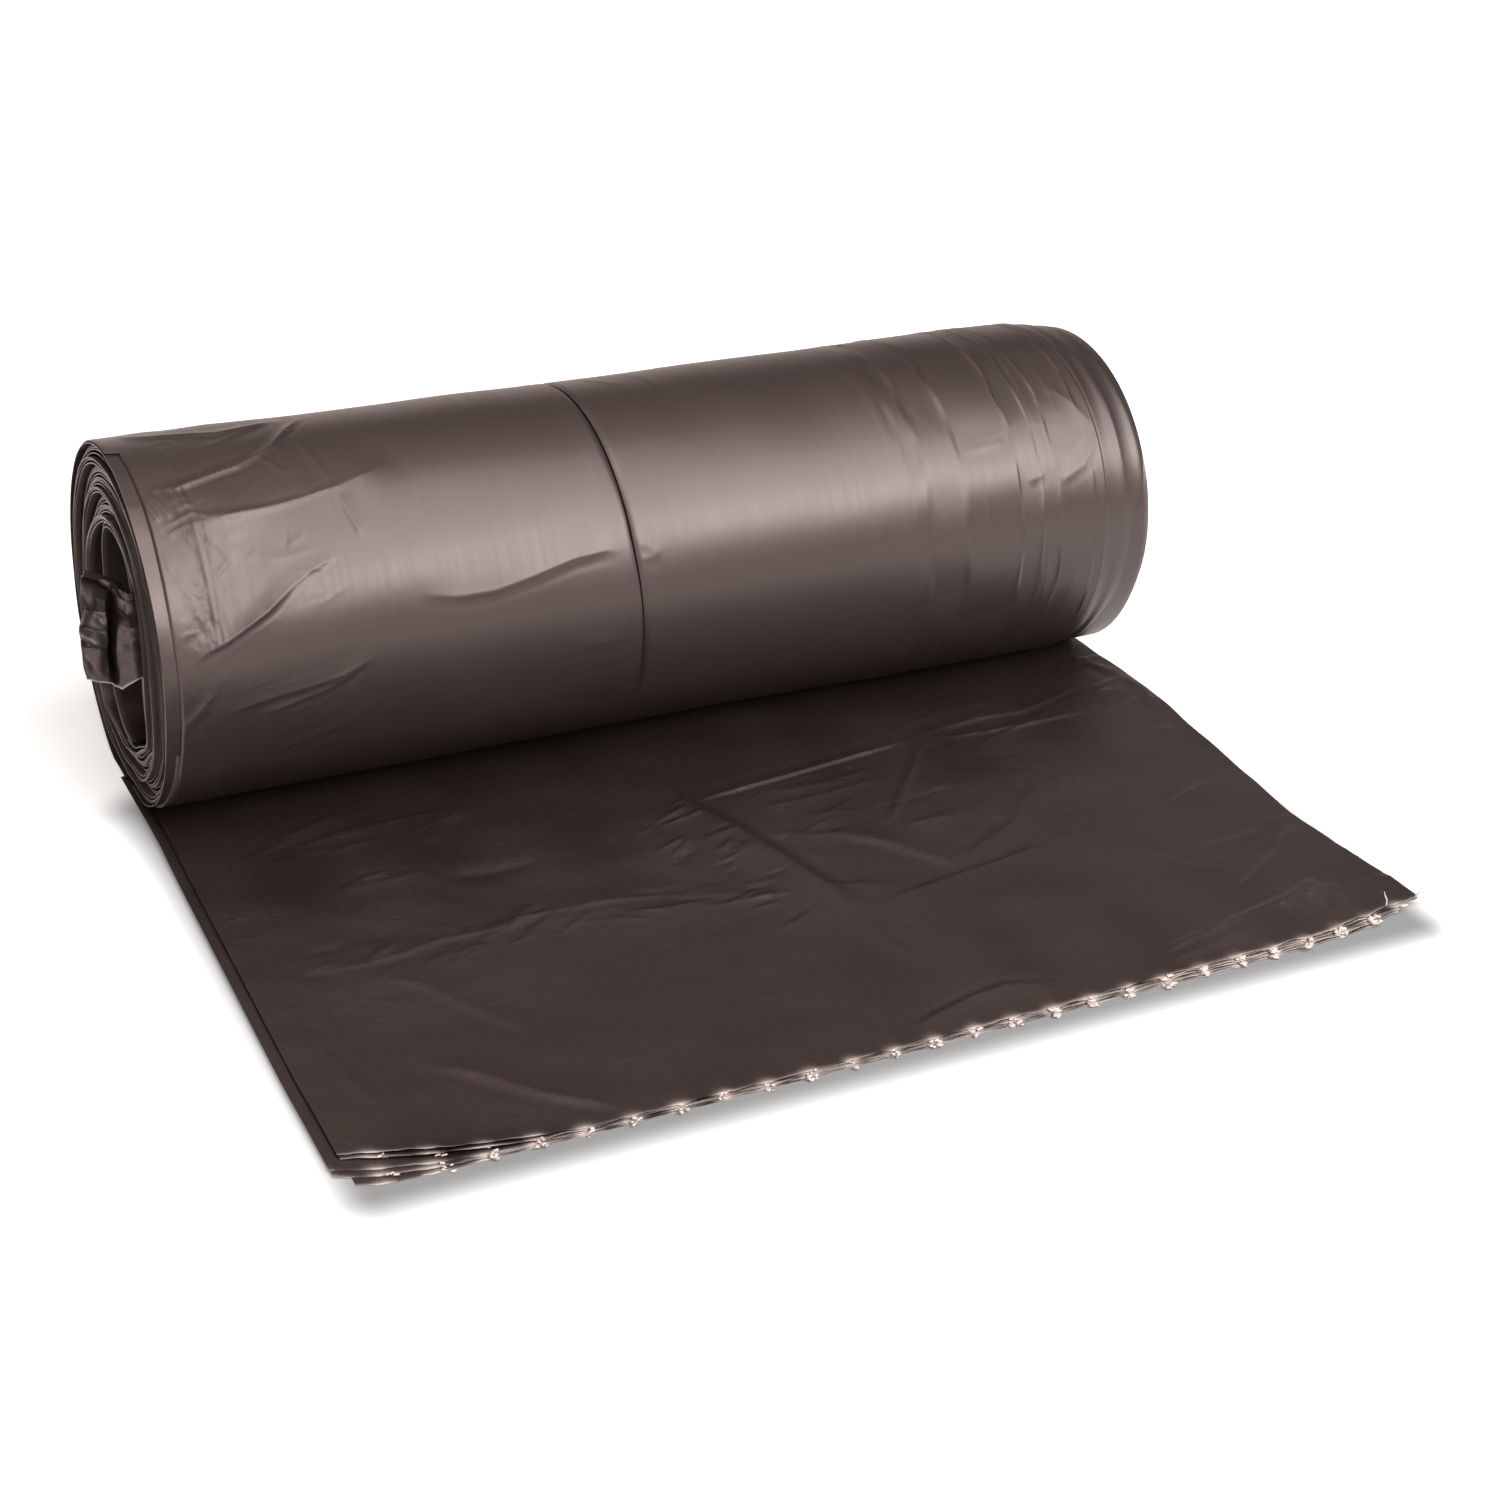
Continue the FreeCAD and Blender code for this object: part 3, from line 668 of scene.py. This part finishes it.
# Creases on the drawn-out bag: points across the web and away from the roll, as on the wrap
sheet_creases = [
    ([(-10.5, -57.7), (3, -56.8), (17.4, -55), (30, -53.2), (44, -51.4), (57, -49.2)], 0.42, 1.3, 0.5, 1),
    ([(57, -49.2), (66, -47.3), (78.6, -46), (89.4, -46.9), (100, -44.2), (114.6, -39.7)], 0.22, 1.6, 0.6, 1),
    ([(58.8, -50.5), (69.6, -52.7), (84, -53.7), (94.8, -53.2), (109, -53.7)], 0.24, 1.8, 0.6, 1),
    ([(58.8, -50.5), (51.6, -59.5), (42.6, -70.3), (33.6, -81.1), (28, -85.6)], 0.36, 0.5, 1.0, 1),
    ([(-16.8, -32.5), (-12.3, -45.1), (-9.6, -59.5), (-4.2, -73.9), (0.3, -90.1), (3.9, -106.3), (4.8, -118)], 0.95, 1.5, 9, 1.3),
    ([(-121, -94.6), (-112, -93.7), (-103, -94.6), (-92.4, -93.7), (-85.2, -91.5), (-72.6, -91.5), (-63.6, -90.1), (-56.4, -89.2), (-45.6, -89.7), (-34.8, -91.9), (-24, -95.5), (-15, -99.1), (-6, -104.1)], 0.2, 3.0, 0.7, 1),
    ([(-60, -84.7), (-65.4, -90.1), (-70.8, -93.7)], 0.25, 0.72, 1.6, 1),
    ([(-69, -88.3), (-73.5, -95.5)], 0.21, 0.72, 1.28, 1),
    ([(-100.5, -99.1), (-93.3, -106.3), (-87, -117.1), (-81.6, -126.1), (-78, -131.5)], 0.26, 2.6, 0.9, 1),
    ([(-103, -131.5), (-94.2, -140.5), (-85.2, -151.3), (-76.2, -158.5), (-71, -163)], 0.5, 3.4, 1.0, 1),
    ([(-108.6, -39.7), (-99.6, -37), (-88.8, -32.5), (-84, -31.6)], 0.25, 0.8, 1.76, 1),
    ([(-105, -44.2), (-88.8, -39.7), (-72.6, -38.8), (-54.6, -38.3)], 0.29, 0.8, 2.4, 1),
    ([(-97.8, -46.9), (-88.8, -46), (-79.8, -45.5)], 0.17, 0.64, 1.6, 1),
    ([(-97, -64), (-90.6, -61.3), (-83.4, -60)], 0.25, 0.64, 1.6, 1),
    ([(-99.6, -64.9), (-87, -64), (-76, -62.7)], 0.13, 0.96, 2, 2),
    ([(-74.4, -67.6), (-63.6, -69.4), (-51, -68.5)], -0.21, 2, 2, 2),
    ([(-72.6, -52.3), (-65.4, -43.3), (-58, -39.7)], 0.21, 3.2, 2, 2),
    ([(15.6, -82.9), (24.6, -91.9), (31.8, -102.7), (36.3, -110)], 0.36, 3.6, 1.2, 1.5),
    ([(35.4, -105.4), (46.2, -100.9), (57, -95.5), (66, -86.5), (75, -79.3)], 0.2, 1.0, 2.6, 1),
    ([(3, -66.7), (21, -66.7), (40.8, -64)], 0.21, 1.12, 2.4, 1),
    ([(10, -61.3), (26.4, -61.3), (40.8, -59.5)], 0.21, 0.96, 2, 1),
    ([(1.2, -77.5), (12, -82.9), (21, -84.7)], 0.17, 0.96, 2, 1),
    ([(2, -102.7), (12, -106.3), (17.4, -109.9)], 0.17, 0.96, 2, 1),
    ([(10.2, -114.4), (21, -113.5), (35.4, -110.8), (48, -109), (62.4, -106.3)], 0.25, 0.8, 2.4, 1),
    ([(4.8, -117.1), (3.9, -127.9), (7.5, -136.9)], 0.13, 1.2, 2, 2),
    ([(91.2, -104.5), (102, -100), (114.6, -95.5)], 0.21, 0.8, 2.4, 1),
    ([(71.4, -120.7), (80.4, -123.4), (86.7, -131.5)], 0.25, 1.6, 2.4, 1),
    ([(86.7, -122.5), (100, -122.5), (112.8, -120.7)], 0.21, 1.2, 2.4, 1),
    ([(84, -144.1), (94.8, -137.8), (109, -129.7), (120, -120.7)], 0.4, 1.1, 3.5, 1),
    ([(55.2, -156.7), (64.2, -154.9), (76.8, -152.2), (91.2, -149.5), (109, -144.1)], 0.75, 0.9, 5, 1),
    ([(55.2, -159.4), (66, -158.5), (84, -154.9)], 0.29, 0.8, 2, 1),
    ([(91.2, -151.3), (100, -147.7), (108.3, -143.2)], 0.5, 0.8, 3, 1),
    ([(100, -149.5), (111, -147.7)], 0.4, 0.7, 3, 1),
    ([(96.6, -162), (103.8, -156.7), (109.2, -150)], 0.5, 0.8, 3, 1),
    ([(-7.8, -160.3), (1.2, -157.6), (10.2, -155.3), (19.2, -154), (26.4, -156.7), (33, -160)], 0.5, 0.8, 4.0, 1.4),
    ([(-118.5, -120.7), (-117.6, -131.5), (-115.8, -142.3)], 0.25, 0.72, 1.28, 1),
    ([(119, -21.7), (121, -28.9), (124.5, -38), (125.5, -48.7), (122, -62)], 0.45, 1.2, 1.0, 1),
    ([(117, -28), (127, -27)], 0.42, 0.64, 1.28, 1),
    ([(113, -44), (125, -40)], 0.34, 0.8, 1.6, 1),
    ([(112, -58), (122, -52)], 0.25, 0.8, 1.6, 1),
]
sheet_rings = [(-115.0, 0.18, 0.4), (98.0, 0.06, 0.8), (-24.0, 0.05, 1.0)]


def sheet_swell(x, y):
    """How far air between the plies lifts the drawn-out bag."""
    swell = 0.5 + waves(41, x, y, 80, 0.26) + waves(42, x, y, 30, 0.09)
    return np.clip(swell, 0, None) * np.clip((-y - 4) / 16, 0, 1)


def sheet_folds(x, y):
    """How far the creases of the drawn-out bag stand up."""
    level = waves(43, x, y, 13, 0.035)
    for points, rise, one, other, power in sheet_creases:
        level += 1.2 * crease(x, y, points, rise, one, other, power)
    for at, rise, width in sheet_rings:
        level += rise * np.exp(-np.abs(x - at) / width)
    level += crinkle(51, x, y, (-22, -6, -92, -58), 18, 9, 0.5, 0.4, 18, 10)
    level += crinkle(52, x, y, (-24, -4, -115, -92), 8, 10, 0.6, 0.3, -5, 10)
    level += crinkle(58, x, y, (-118, -50, -98, -86), 26, 9, 0.6, 0.26, 28, 9)
    level += crinkle(59, x, y, (-60, -8, -104, -90), 12, 14, 0.6, 0.26, -12, 9)
    level += crinkle(60, x, y, (60, 118, -56, -38), 16, 16, 0.6, 0.22, 10, 8)
    level += crinkle(62, x, y, (-112, -60, -50, -32), 16, 12, 0.6, 0.2, 14, 8)
    level += crinkle(63, x, y, (0, 50, -88, -58), 14, 14, 0.6, 0.18, 5, 14)
    level += crinkle(53, x, y, (-118, -75, -130, -60), 40, 9, 0.6, 0.1, 20, 35)
    level += crinkle(54, x, y, (60, 125, -160, -60), 45, 12, 0.7, 0.12, 25, 35)
    level += crinkle(55, x, y, (-120, 122, -165, -20), 90, 14, 0.7, 0.08, 10, 45)
    level += crinkle(56, x, y, (-124, -116, -160, -20), 20, 5, 0.5, 0.1, 10, 35)
    level += crinkle(57, x, y, (117, 127, -160, -15), 26, 6, 0.6, 0.14, 15, 35)
    return level * np.clip((-y - 4) / 16, 0, 1)


def openness(x):
    """How far the plies' edges stand apart: little on the left, fully on the right."""
    return 0.4 + 0.6 * np.clip((x + 5) / 70, 0, 1)


def right_edge(y):
    """The drawn-out bag's right edge, a little drawn in along its middle."""
    drawn = 4.9 * np.exp(-(((y + 116) / 40) ** 2)) + 0.6 * np.clip((-y - 130) / 30, 0, 1)
    return 127.2 - drawn + waves(61, y, 0 * y, 30, 0.25)


def near_tie(x):
    """1 at a tie, falling to 0 between two of them."""
    off = np.abs(np.mod(x / tie_pitch + tie_count / 2, 1) - 0.5) * tie_pitch
    return np.exp(-((off / 1.5) ** 2))


def lay_ply(height, share, left_in, right, front_in, corner_in, seed):
    """Functions that lay a ply of the drawn-out bag, and say where it is pale and crumpled.

    u runs from -1 to 1 across the ply, v is the distance in mm from its torn edge."""
    low = -web_end + left_in

    def place(u, v):
        x0 = low + (u + 1) / 2 * (right - low)
        open_by = openness(x0)
        front = torn_edge(x0) + front_in * open_by + waves(seed, x0, 0 * x0, 11, 0.16) * open_by
        front += corner_in * np.exp(-(((x0 + 122) / 16) ** 2))
        front -= 2.6 * np.exp(-(((x0 - 127) / 6) ** 2)) * (right > 120)
        front += waves(seed + 1, x0, 0 * x0, 3.2, 0.10) - 0.5 * near_tie(x0) * open_by
        y = front + v * (6 - front) / 172
        drawn = np.where(right > 120, (right_edge(y) - web_end) * np.clip((x0 - 70) / 57, 0, 1), 0)
        x = x0 + drawn - left_bulge(y) * np.clip((-60 - x0) / 67, 0, 1)
        near_edge = np.exp(-v / 5)
        low_down = height * (open_by if share < 1 else 0.15 + 0.85 * open_by)
        lift = share * sheet_swell(x, y)
        folds = sheet_folds(x, y)
        lift += np.maximum(folds, -0.3) if share == 1 else share * near_edge * np.clip(folds, 0, 2)
        loose = np.exp(-v / 2.5) * (0.1 + waves(seed + 2, x, 0 * x, 14, 0.16)) * share * open_by
        # at the left corner the two uppermost plies gape
        gape = 1.6 if share == 1 else 1.0 if share > 0.8 else 0
        loose += gape * np.exp(-(((x0 + 102) / 14) ** 2) - v / 5)
        return x, y, np.maximum(low_down + lift + loose, low_down)

    def stretched(u, v):
        x0 = low + (u + 1) / 2 * (right - low)
        patches = np.clip(0.1 + 0.45 * openness(x0) + waves(seed + 3, x0, 0 * x0, 9, 0.3), 0, 1)
        along_edge = patches * np.exp(-v / 0.25)
        at_tie = near_tie(x0) * np.exp(-v / 0.6)
        return np.clip(along_edge + at_tie, 0, 1)

    def crumpled(u, v):
        return np.clip(0.3 + waves(64, low + (u + 1) / 2 * (right - low), v, 24, 0.2), 0, 1)

    return place, stretched, crumpled


fine_rows = [0, 0.15, 0.35, 0.6, 0.9, 1.25, 1.65] + list(np.arange(2.1, 150, 0.44))
fine_rows += list(np.arange(150, 173, 1.5))
coarse_rows = [0, 0.2, 0.5, 0.9, 1.5, 2.3, 3.4, 5, 8, 14] + list(np.arange(20, 172, 6.0)) + [172]
leaves = [
    # name, height, share of the creases, inset on the left, right edge, inset in front, the same
    # at the left corner, seed
    ("drawn_out_top_ply", 1.5, 1.0, 2.4, 127.0, 1.7, 4.9, 71),
    ("drawn_out_second_ply", 1.2, 0.9, 2.7, 126.6, 1.5, 3.9, 75),
    ("drawn_out_third_ply", 0.95, 0.66, 0.0, 119.0, 1.1, 0.9, 79),
    ("drawn_out_fourth_ply", 0.72, 0.5, 0.2, 118.6, 0.8, -0.8, 83),
    ("drawn_out_fifth_ply", 0.5, 0.34, 0.6, 118.0, 0.4, -0.6, 87),
    ("drawn_out_left_flap", 0.26, 0.15, 3.2, -16.6, 0.0, -2.9, 91),
    ("drawn_out_right_flap", 0.26, 0.15, 110.9, 113.0, 0.0, 0.0, 95),
]
for name, height, share, left_in, right, front_in, corner_in, seed in leaves:
    place, stretched, crumpled = lay_ply(
        height, share, left_in, right, front_in, corner_in, seed
    )
    on_top = height > 1.4
    across = np.linspace(-1, 1, 254 if on_top else int((right + web_end - left_in) / 1.2))
    rows = fine_rows if on_top else coarse_rows
    thickness = 0 if on_top else 0.1
    ply = lay_film(
        name,
        across,
        rows,
        place,
        thickness,
        stretch=stretched,
        crumple=crumpled,
        slack=lambda u, v: np.ones(len(u)),
    )
    keep(ply, film)

# Ties. The perforation left narrow ties of film between its cuts. Each was pulled out and torn
# when the bag before was taken off, and has curled up into a small pale knot.

# Polyethylene, stretched until it tore: it turns pale and dull where it has been drawn
def make_torn():
    torn = bpy.data.materials.new("polyethylene, stretched white")
    torn.use_nodes = True
    tree = torn.node_tree
    shader = tree.nodes["Principled BSDF"]
    place = add_node(tree, "ShaderNodeTexCoord")
    strands = add_node(
        tree, "ShaderNodeTexNoise", {"Scale": 1400.0, "Detail": 2.0}, {"Vector": (place, "Object")}
    )
    colour = add_node(
        tree,
        "ShaderNodeMix",
        {"data_type": "RGBA", 6: linear("9b8a84"), 7: linear("d3c5bf")},
        {0: (strands, "Fac")},
    )
    tree.links.new(colour.outputs[2], shader.inputs["Base Color"])
    shader.inputs["Roughness"].default_value = 0.55
    shader.inputs["IOR"].default_value = 1.51
    return torn


torn_film = make_torn()


def knot(seed, x, y, z, size):
    """One torn tie: a small lump of film, drawn out in two or three points."""
    dice = np.random.default_rng(seed)
    bpy.ops.mesh.primitive_ico_sphere_add(subdivisions=2, radius=1)
    piece = bpy.context.object
    count = len(piece.data.vertices)
    ball = np.empty(count * 3)
    piece.data.vertices.foreach_get("co", ball)
    ball = ball.reshape(count, 3)
    reach = 0.62 + 0.12 * dice.normal(size=count)
    for _ in range(5):
        point = dice.normal(size=3) * (1, 0.9, 0.5)
        point /= np.linalg.norm(point)
        reach += dice.uniform(0.5, 0.95) * np.exp(-np.sum((ball - point) ** 2, 1) / 0.16)
    ball = ball * reach[:, None] * size * (1.15, 0.85, 0.55) + (x, y, z)
    piece.data.vertices.foreach_set("co", (ball / 1000).ravel())
    piece.select_set(False)
    return piece


knots = []
dice = np.random.default_rng(200)
for index in range(tie_count):
    x = (index - (tie_count - 1) / 2) * tie_pitch
    for name, height, share, left_in, right, front_in, corner_in, seed in leaves:
        if not left_in - web_end + 1 < x < right - 1 or dice.uniform() < 0.25:
            continue
        corner = corner_in * math.exp(-(((x + 122) / 16) ** 2))
        at = np.array([x])
        open_by = float(openness(at)[0])
        edge = torn_edge(at) + front_in * open_by + corner - 0.4 - 0.4 * open_by
        lift = share * float((sheet_swell(at, edge) + sheet_folds(at, edge))[0])
        for _ in range(2):
            at_x = x + dice.normal() * 0.6
            at_y = float(edge[0]) + dice.normal() * 0.4
            at_z = height * open_by + lift + dice.uniform(-0.1, 0.3)
            size = dice.uniform(0.5, 0.95) * (0.35 + 0.75 * open_by)
            knots.append(knot(int(dice.integers(9999)), at_x, at_y, at_z, size))
for piece in knots:
    piece.select_set(True)
bpy.context.view_layer.objects.active = knots[0]
bpy.ops.object.join()
ties = bpy.context.object
ties.name = ties.data.name = "torn_ties"
bpy.ops.object.shade_smooth()
ties.select_set(False)
keep(ties, torn_film)

# Two shreds of film hang from the last tie at the right, stretched thin and curled
shreds = [
    [(124.6, -159.2, 2.2), (125.4, -159.8, 3.0), (126.2, -159.8, 4.2), (126.5, -159.4, 5.5), (126.2, -159.2, 6.5)],
    [(124.6, -159.2, 2.0), (125.6, -160.1, 1.8), (126.8, -160.6, 1.2), (127.7, -160.4, 1.4), (128.4, -160.6, 1.9)],
    [(115.0, -160.6, 2.4), (115.3, -160.2, 3.6), (115.0, -159.6, 4.6), (115.2, -159.0, 5.2)],
]
for index, points in enumerate(shreds):
    points = np.array(points)

    def place_shred(u, v):
        way = [np.interp(v, np.arange(len(points)), points[:, k]) for k in range(3)]
        lean = 0.2 * (1 - v / len(points))
        return way[0] + u * lean, way[1] + 0.4 * u * lean, way[2] + 0.5 * u * lean

    shred = lay_film(
        "tie_shred_%d" % (index + 1), [-1, 0, 1], np.linspace(0, len(points) - 1, 17), place_shred, 0.12
    )
    keep(shred, torn_film)

# Studio: a pale floor that goes on past the view, a white surround, and soft lamps
world = bpy.data.worlds.new("surround")
bpy.context.scene.world = world
world.use_nodes = True
tree = world.node_tree
ground = tree.nodes["Background"]
path = add_node(tree, "ShaderNodeLightPath")
seen = add_node(
    tree, "ShaderNodeMath", {"operation": "ADD"}, {0: (path, "Is Camera Ray"), 1: (path, "Is Glossy Ray")}
)
seen = add_node(
    tree,
    "ShaderNodeMath",
    {"operation": "ADD", "use_clamp": True},
    {0: (seen, 0), 1: (path, "Is Transmission Ray")},
)
# the surround is white up to 12 degrees above the horizon, then a dark wall, and pale overhead
place = add_node(tree, "ShaderNodeTexCoord")
height = add_node(tree, "ShaderNodeSeparateXYZ", {}, {0: (place, "Generated")})
wall = add_node(
    tree,
    "ShaderNodeMapRange",
    {"From Min": 0.22, "From Max": 0.46, "To Min": 1.0, "To Max": 0.2},
    {"Value": (height, "Z")},
)
ceiling = add_node(
    tree,
    "ShaderNodeMapRange",
    {"From Min": 0.6, "From Max": 0.85, "To Min": 0.0, "To Max": 0.8},
    {"Value": (height, "Z")},
)
wall = add_node(tree, "ShaderNodeMath", {"operation": "ADD"}, {0: (wall, 0), 1: (ceiling, 0)})
# towards +X the room is darker
side = add_node(
    tree,
    "ShaderNodeMapRange",
    {"From Min": 0.25, "From Max": 0.55, "To Min": 1.15, "To Max": 0.6},
    {"Value": (height, "X")},
)
wall = add_node(tree, "ShaderNodeMath", {"operation": "MULTIPLY"}, {0: (wall, 0), 1: (side, 0)})
level = add_node(tree, "ShaderNodeMix", {2: 0.35}, {0: (seen, 0), 3: (wall, 0)})
level = add_node(tree, "ShaderNodeMix", {3: 1.0}, {0: (path, "Is Camera Ray"), 2: (level, 0)})
tree.links.new(level.outputs[0], ground.inputs["Strength"])
warm = add_node(
    tree,
    "ShaderNodeMix",
    {"data_type": "RGBA", 6: linear("ffeae2"), 7: (1, 1, 1, 1)},
    {0: (path, "Is Camera Ray")},
)
tree.links.new(warm.outputs[2], ground.inputs["Color"])

floor_with_painted_shadow = bpy.data.materials.new("studio floor, matt white, with painted shadow")
floor_with_painted_shadow.use_nodes = True
tree = floor_with_painted_shadow.node_tree
shader = tree.nodes["Principled BSDF"]
path = add_node(tree, "ShaderNodeLightPath")
seen = add_node(
    tree, "ShaderNodeMath", {"operation": "ADD"}, {0: (path, "Is Camera Ray"), 1: (path, "Is Glossy Ray")}
)
seen = add_node(
    tree,
    "ShaderNodeMath",
    {"operation": "ADD", "use_clamp": True},
    {0: (seen, 0), 1: (path, "Is Transmission Ray")},
)
# the lamps' light falls off away from the object, and the floor's own glow makes up for it
place = add_node(tree, "ShaderNodeTexCoord")
away = add_node(tree, "ShaderNodeVectorMath", {"operation": "LENGTH"}, {0: (place, "Object")})
far = add_node(
    tree,
    "ShaderNodeMapRange",
    {"interpolation_type": "SMOOTHSTEP", "From Min": 0.2, "From Max": 1.6, "To Min": 0.25, "To Max": 0.75},
    {"Value": (away, "Value")},
)
glow = add_node(tree, "ShaderNodeMath", {"operation": "MULTIPLY"}, {0: (seen, 0), 1: (far, 0)})
glow = add_node(
    tree,
    "ShaderNodeMath",
    {"operation": "MULTIPLY_ADD", 1: 0.25},
    {0: (path, "Is Camera Ray"), 2: (glow, 0)},
)
# a painted soft shadow round the drawn-out bag: the floor's colour and glow are darkened near a rectangle under it,
# by the distance to that rectangle, in metres
beside = add_node(
    tree,
    "ShaderNodeVectorMath",
    {"operation": "SUBTRACT", 1: (-0.003, -0.089, 0.0)},
    {0: (place, "Object")},
)
beside = add_node(tree, "ShaderNodeVectorMath", {"operation": "ABSOLUTE"}, {0: (beside, 0)})
beside = add_node(
    tree, "ShaderNodeVectorMath", {"operation": "SUBTRACT", 1: (0.121, 0.077, 0.0)}, {0: (beside, 0)}
)
beside = add_node(
    tree, "ShaderNodeVectorMath", {"operation": "MAXIMUM", 1: (0.0, 0.0, 0.0)}, {0: (beside, 0)}
)
beside = add_node(tree, "ShaderNodeVectorMath", {"operation": "LENGTH"}, {0: (beside, 0)})
painted_shadow = add_node(
    tree,
    "ShaderNodeMapRange",
    {"interpolation_type": "SMOOTHSTEP", "From Min": 0.0005, "From Max": 0.0165, "To Min": 0.19, "To Max": 1.0},
    {"Value": (beside, "Value")},
)
glow = add_node(tree, "ShaderNodeMath", {"operation": "MULTIPLY"}, {0: (glow, 0), 1: (painted_shadow, 0)})
painted_shadow_colour = add_node(
    tree,
    "ShaderNodeMix",
    {"data_type": "RGBA", 6: (0.0, 0.0, 0.0, 1), 7: (0.8, 0.8, 0.8, 1)},
    {0: (painted_shadow, 0)},
)
warm = add_node(
    tree,
    "ShaderNodeMix",
    {"data_type": "RGBA", 6: linear("ffeae2"), 7: (1, 1, 1, 1)},
    {0: (path, "Is Camera Ray")},
)
tree.links.new(painted_shadow_colour.outputs[2], shader.inputs["Base Color"])
tree.links.new(warm.outputs[2], shader.inputs["Emission Color"])
tree.links.new(glow.outputs[0], shader.inputs["Emission Strength"])
shader.inputs["Roughness"].default_value = 1.0
shader.inputs["Specular IOR Level"].default_value = 0.0
bpy.ops.mesh.primitive_plane_add(size=12)
floor = bpy.context.object
floor.name = "studio_floor"
floor.data.materials.append(floor_with_painted_shadow)

lamps = [
    # name, where it stands, where it points, width, height, watts
    ("key_panel", (0.52, -1.02, 0.70), (0.0, -0.03, 0.05), 1.4, 0.30, 17.5),
    ("soft_panel", (0.42, -0.80, 1.02), (0.0, -0.03, 0.05), 1.4, 0.46, 12),
    ("upper_left_panel", (0.06, -0.34, 1.20), (-0.05, -0.03, 0.05), 0.9, 0.6, 8.0),
    ("left_panel", (-0.62, -0.75, 0.30), (-0.12, -0.02, 0.04), 0.5, 0.5, 1.8),
]
for name, stands, towards, width, height, watts in lamps:
    lamp = bpy.data.lights.new(name, "AREA")
    lamp.shape = "RECTANGLE"
    lamp.size = width
    lamp.size_y = height
    lamp.energy = watts
    panel = bpy.data.objects.new(name, lamp)
    bpy.context.collection.objects.link(panel)
    panel.location = stands
    gaze = np.subtract(towards, stands)
    panel.rotation_euler = (
        math.acos(-gaze[2] / np.linalg.norm(gaze)),
        0,
        math.atan2(gaze[1], gaze[0]) - math.pi / 2,
    )

# Camera, where the photograph was taken from
camera_data = bpy.data.cameras.new("camera")
camera_data.lens = 60.22
camera_data.sensor_width = 36
camera_data.sensor_fit = "AUTO"
camera_data.clip_start = 0.05
camera_data.clip_end = 50
camera = bpy.data.objects.new("camera", camera_data)
bpy.context.collection.objects.link(camera)
camera.location = (-0.23849, -0.52043, 0.29072)
yaw, pitch, roll = math.radians(27.886), math.radians(27.987), math.radians(2.853)
ahead = np.array([math.sin(yaw) * math.cos(pitch), math.cos(yaw) * math.cos(pitch), -math.sin(pitch)])
level_right = np.array([math.cos(yaw), -math.sin(yaw), 0.0])
level_up = np.cross(level_right, ahead)
right = level_right * math.cos(roll) + level_up * math.sin(roll)
up = -level_right * math.sin(roll) + level_up * math.cos(roll)
from mathutils import Matrix

camera.rotation_euler = Matrix(np.stack([right, up, -ahead], 1).tolist()).to_euler()
bpy.context.scene.camera = camera

bpy.context.scene.view_settings.view_transform = "Standard"
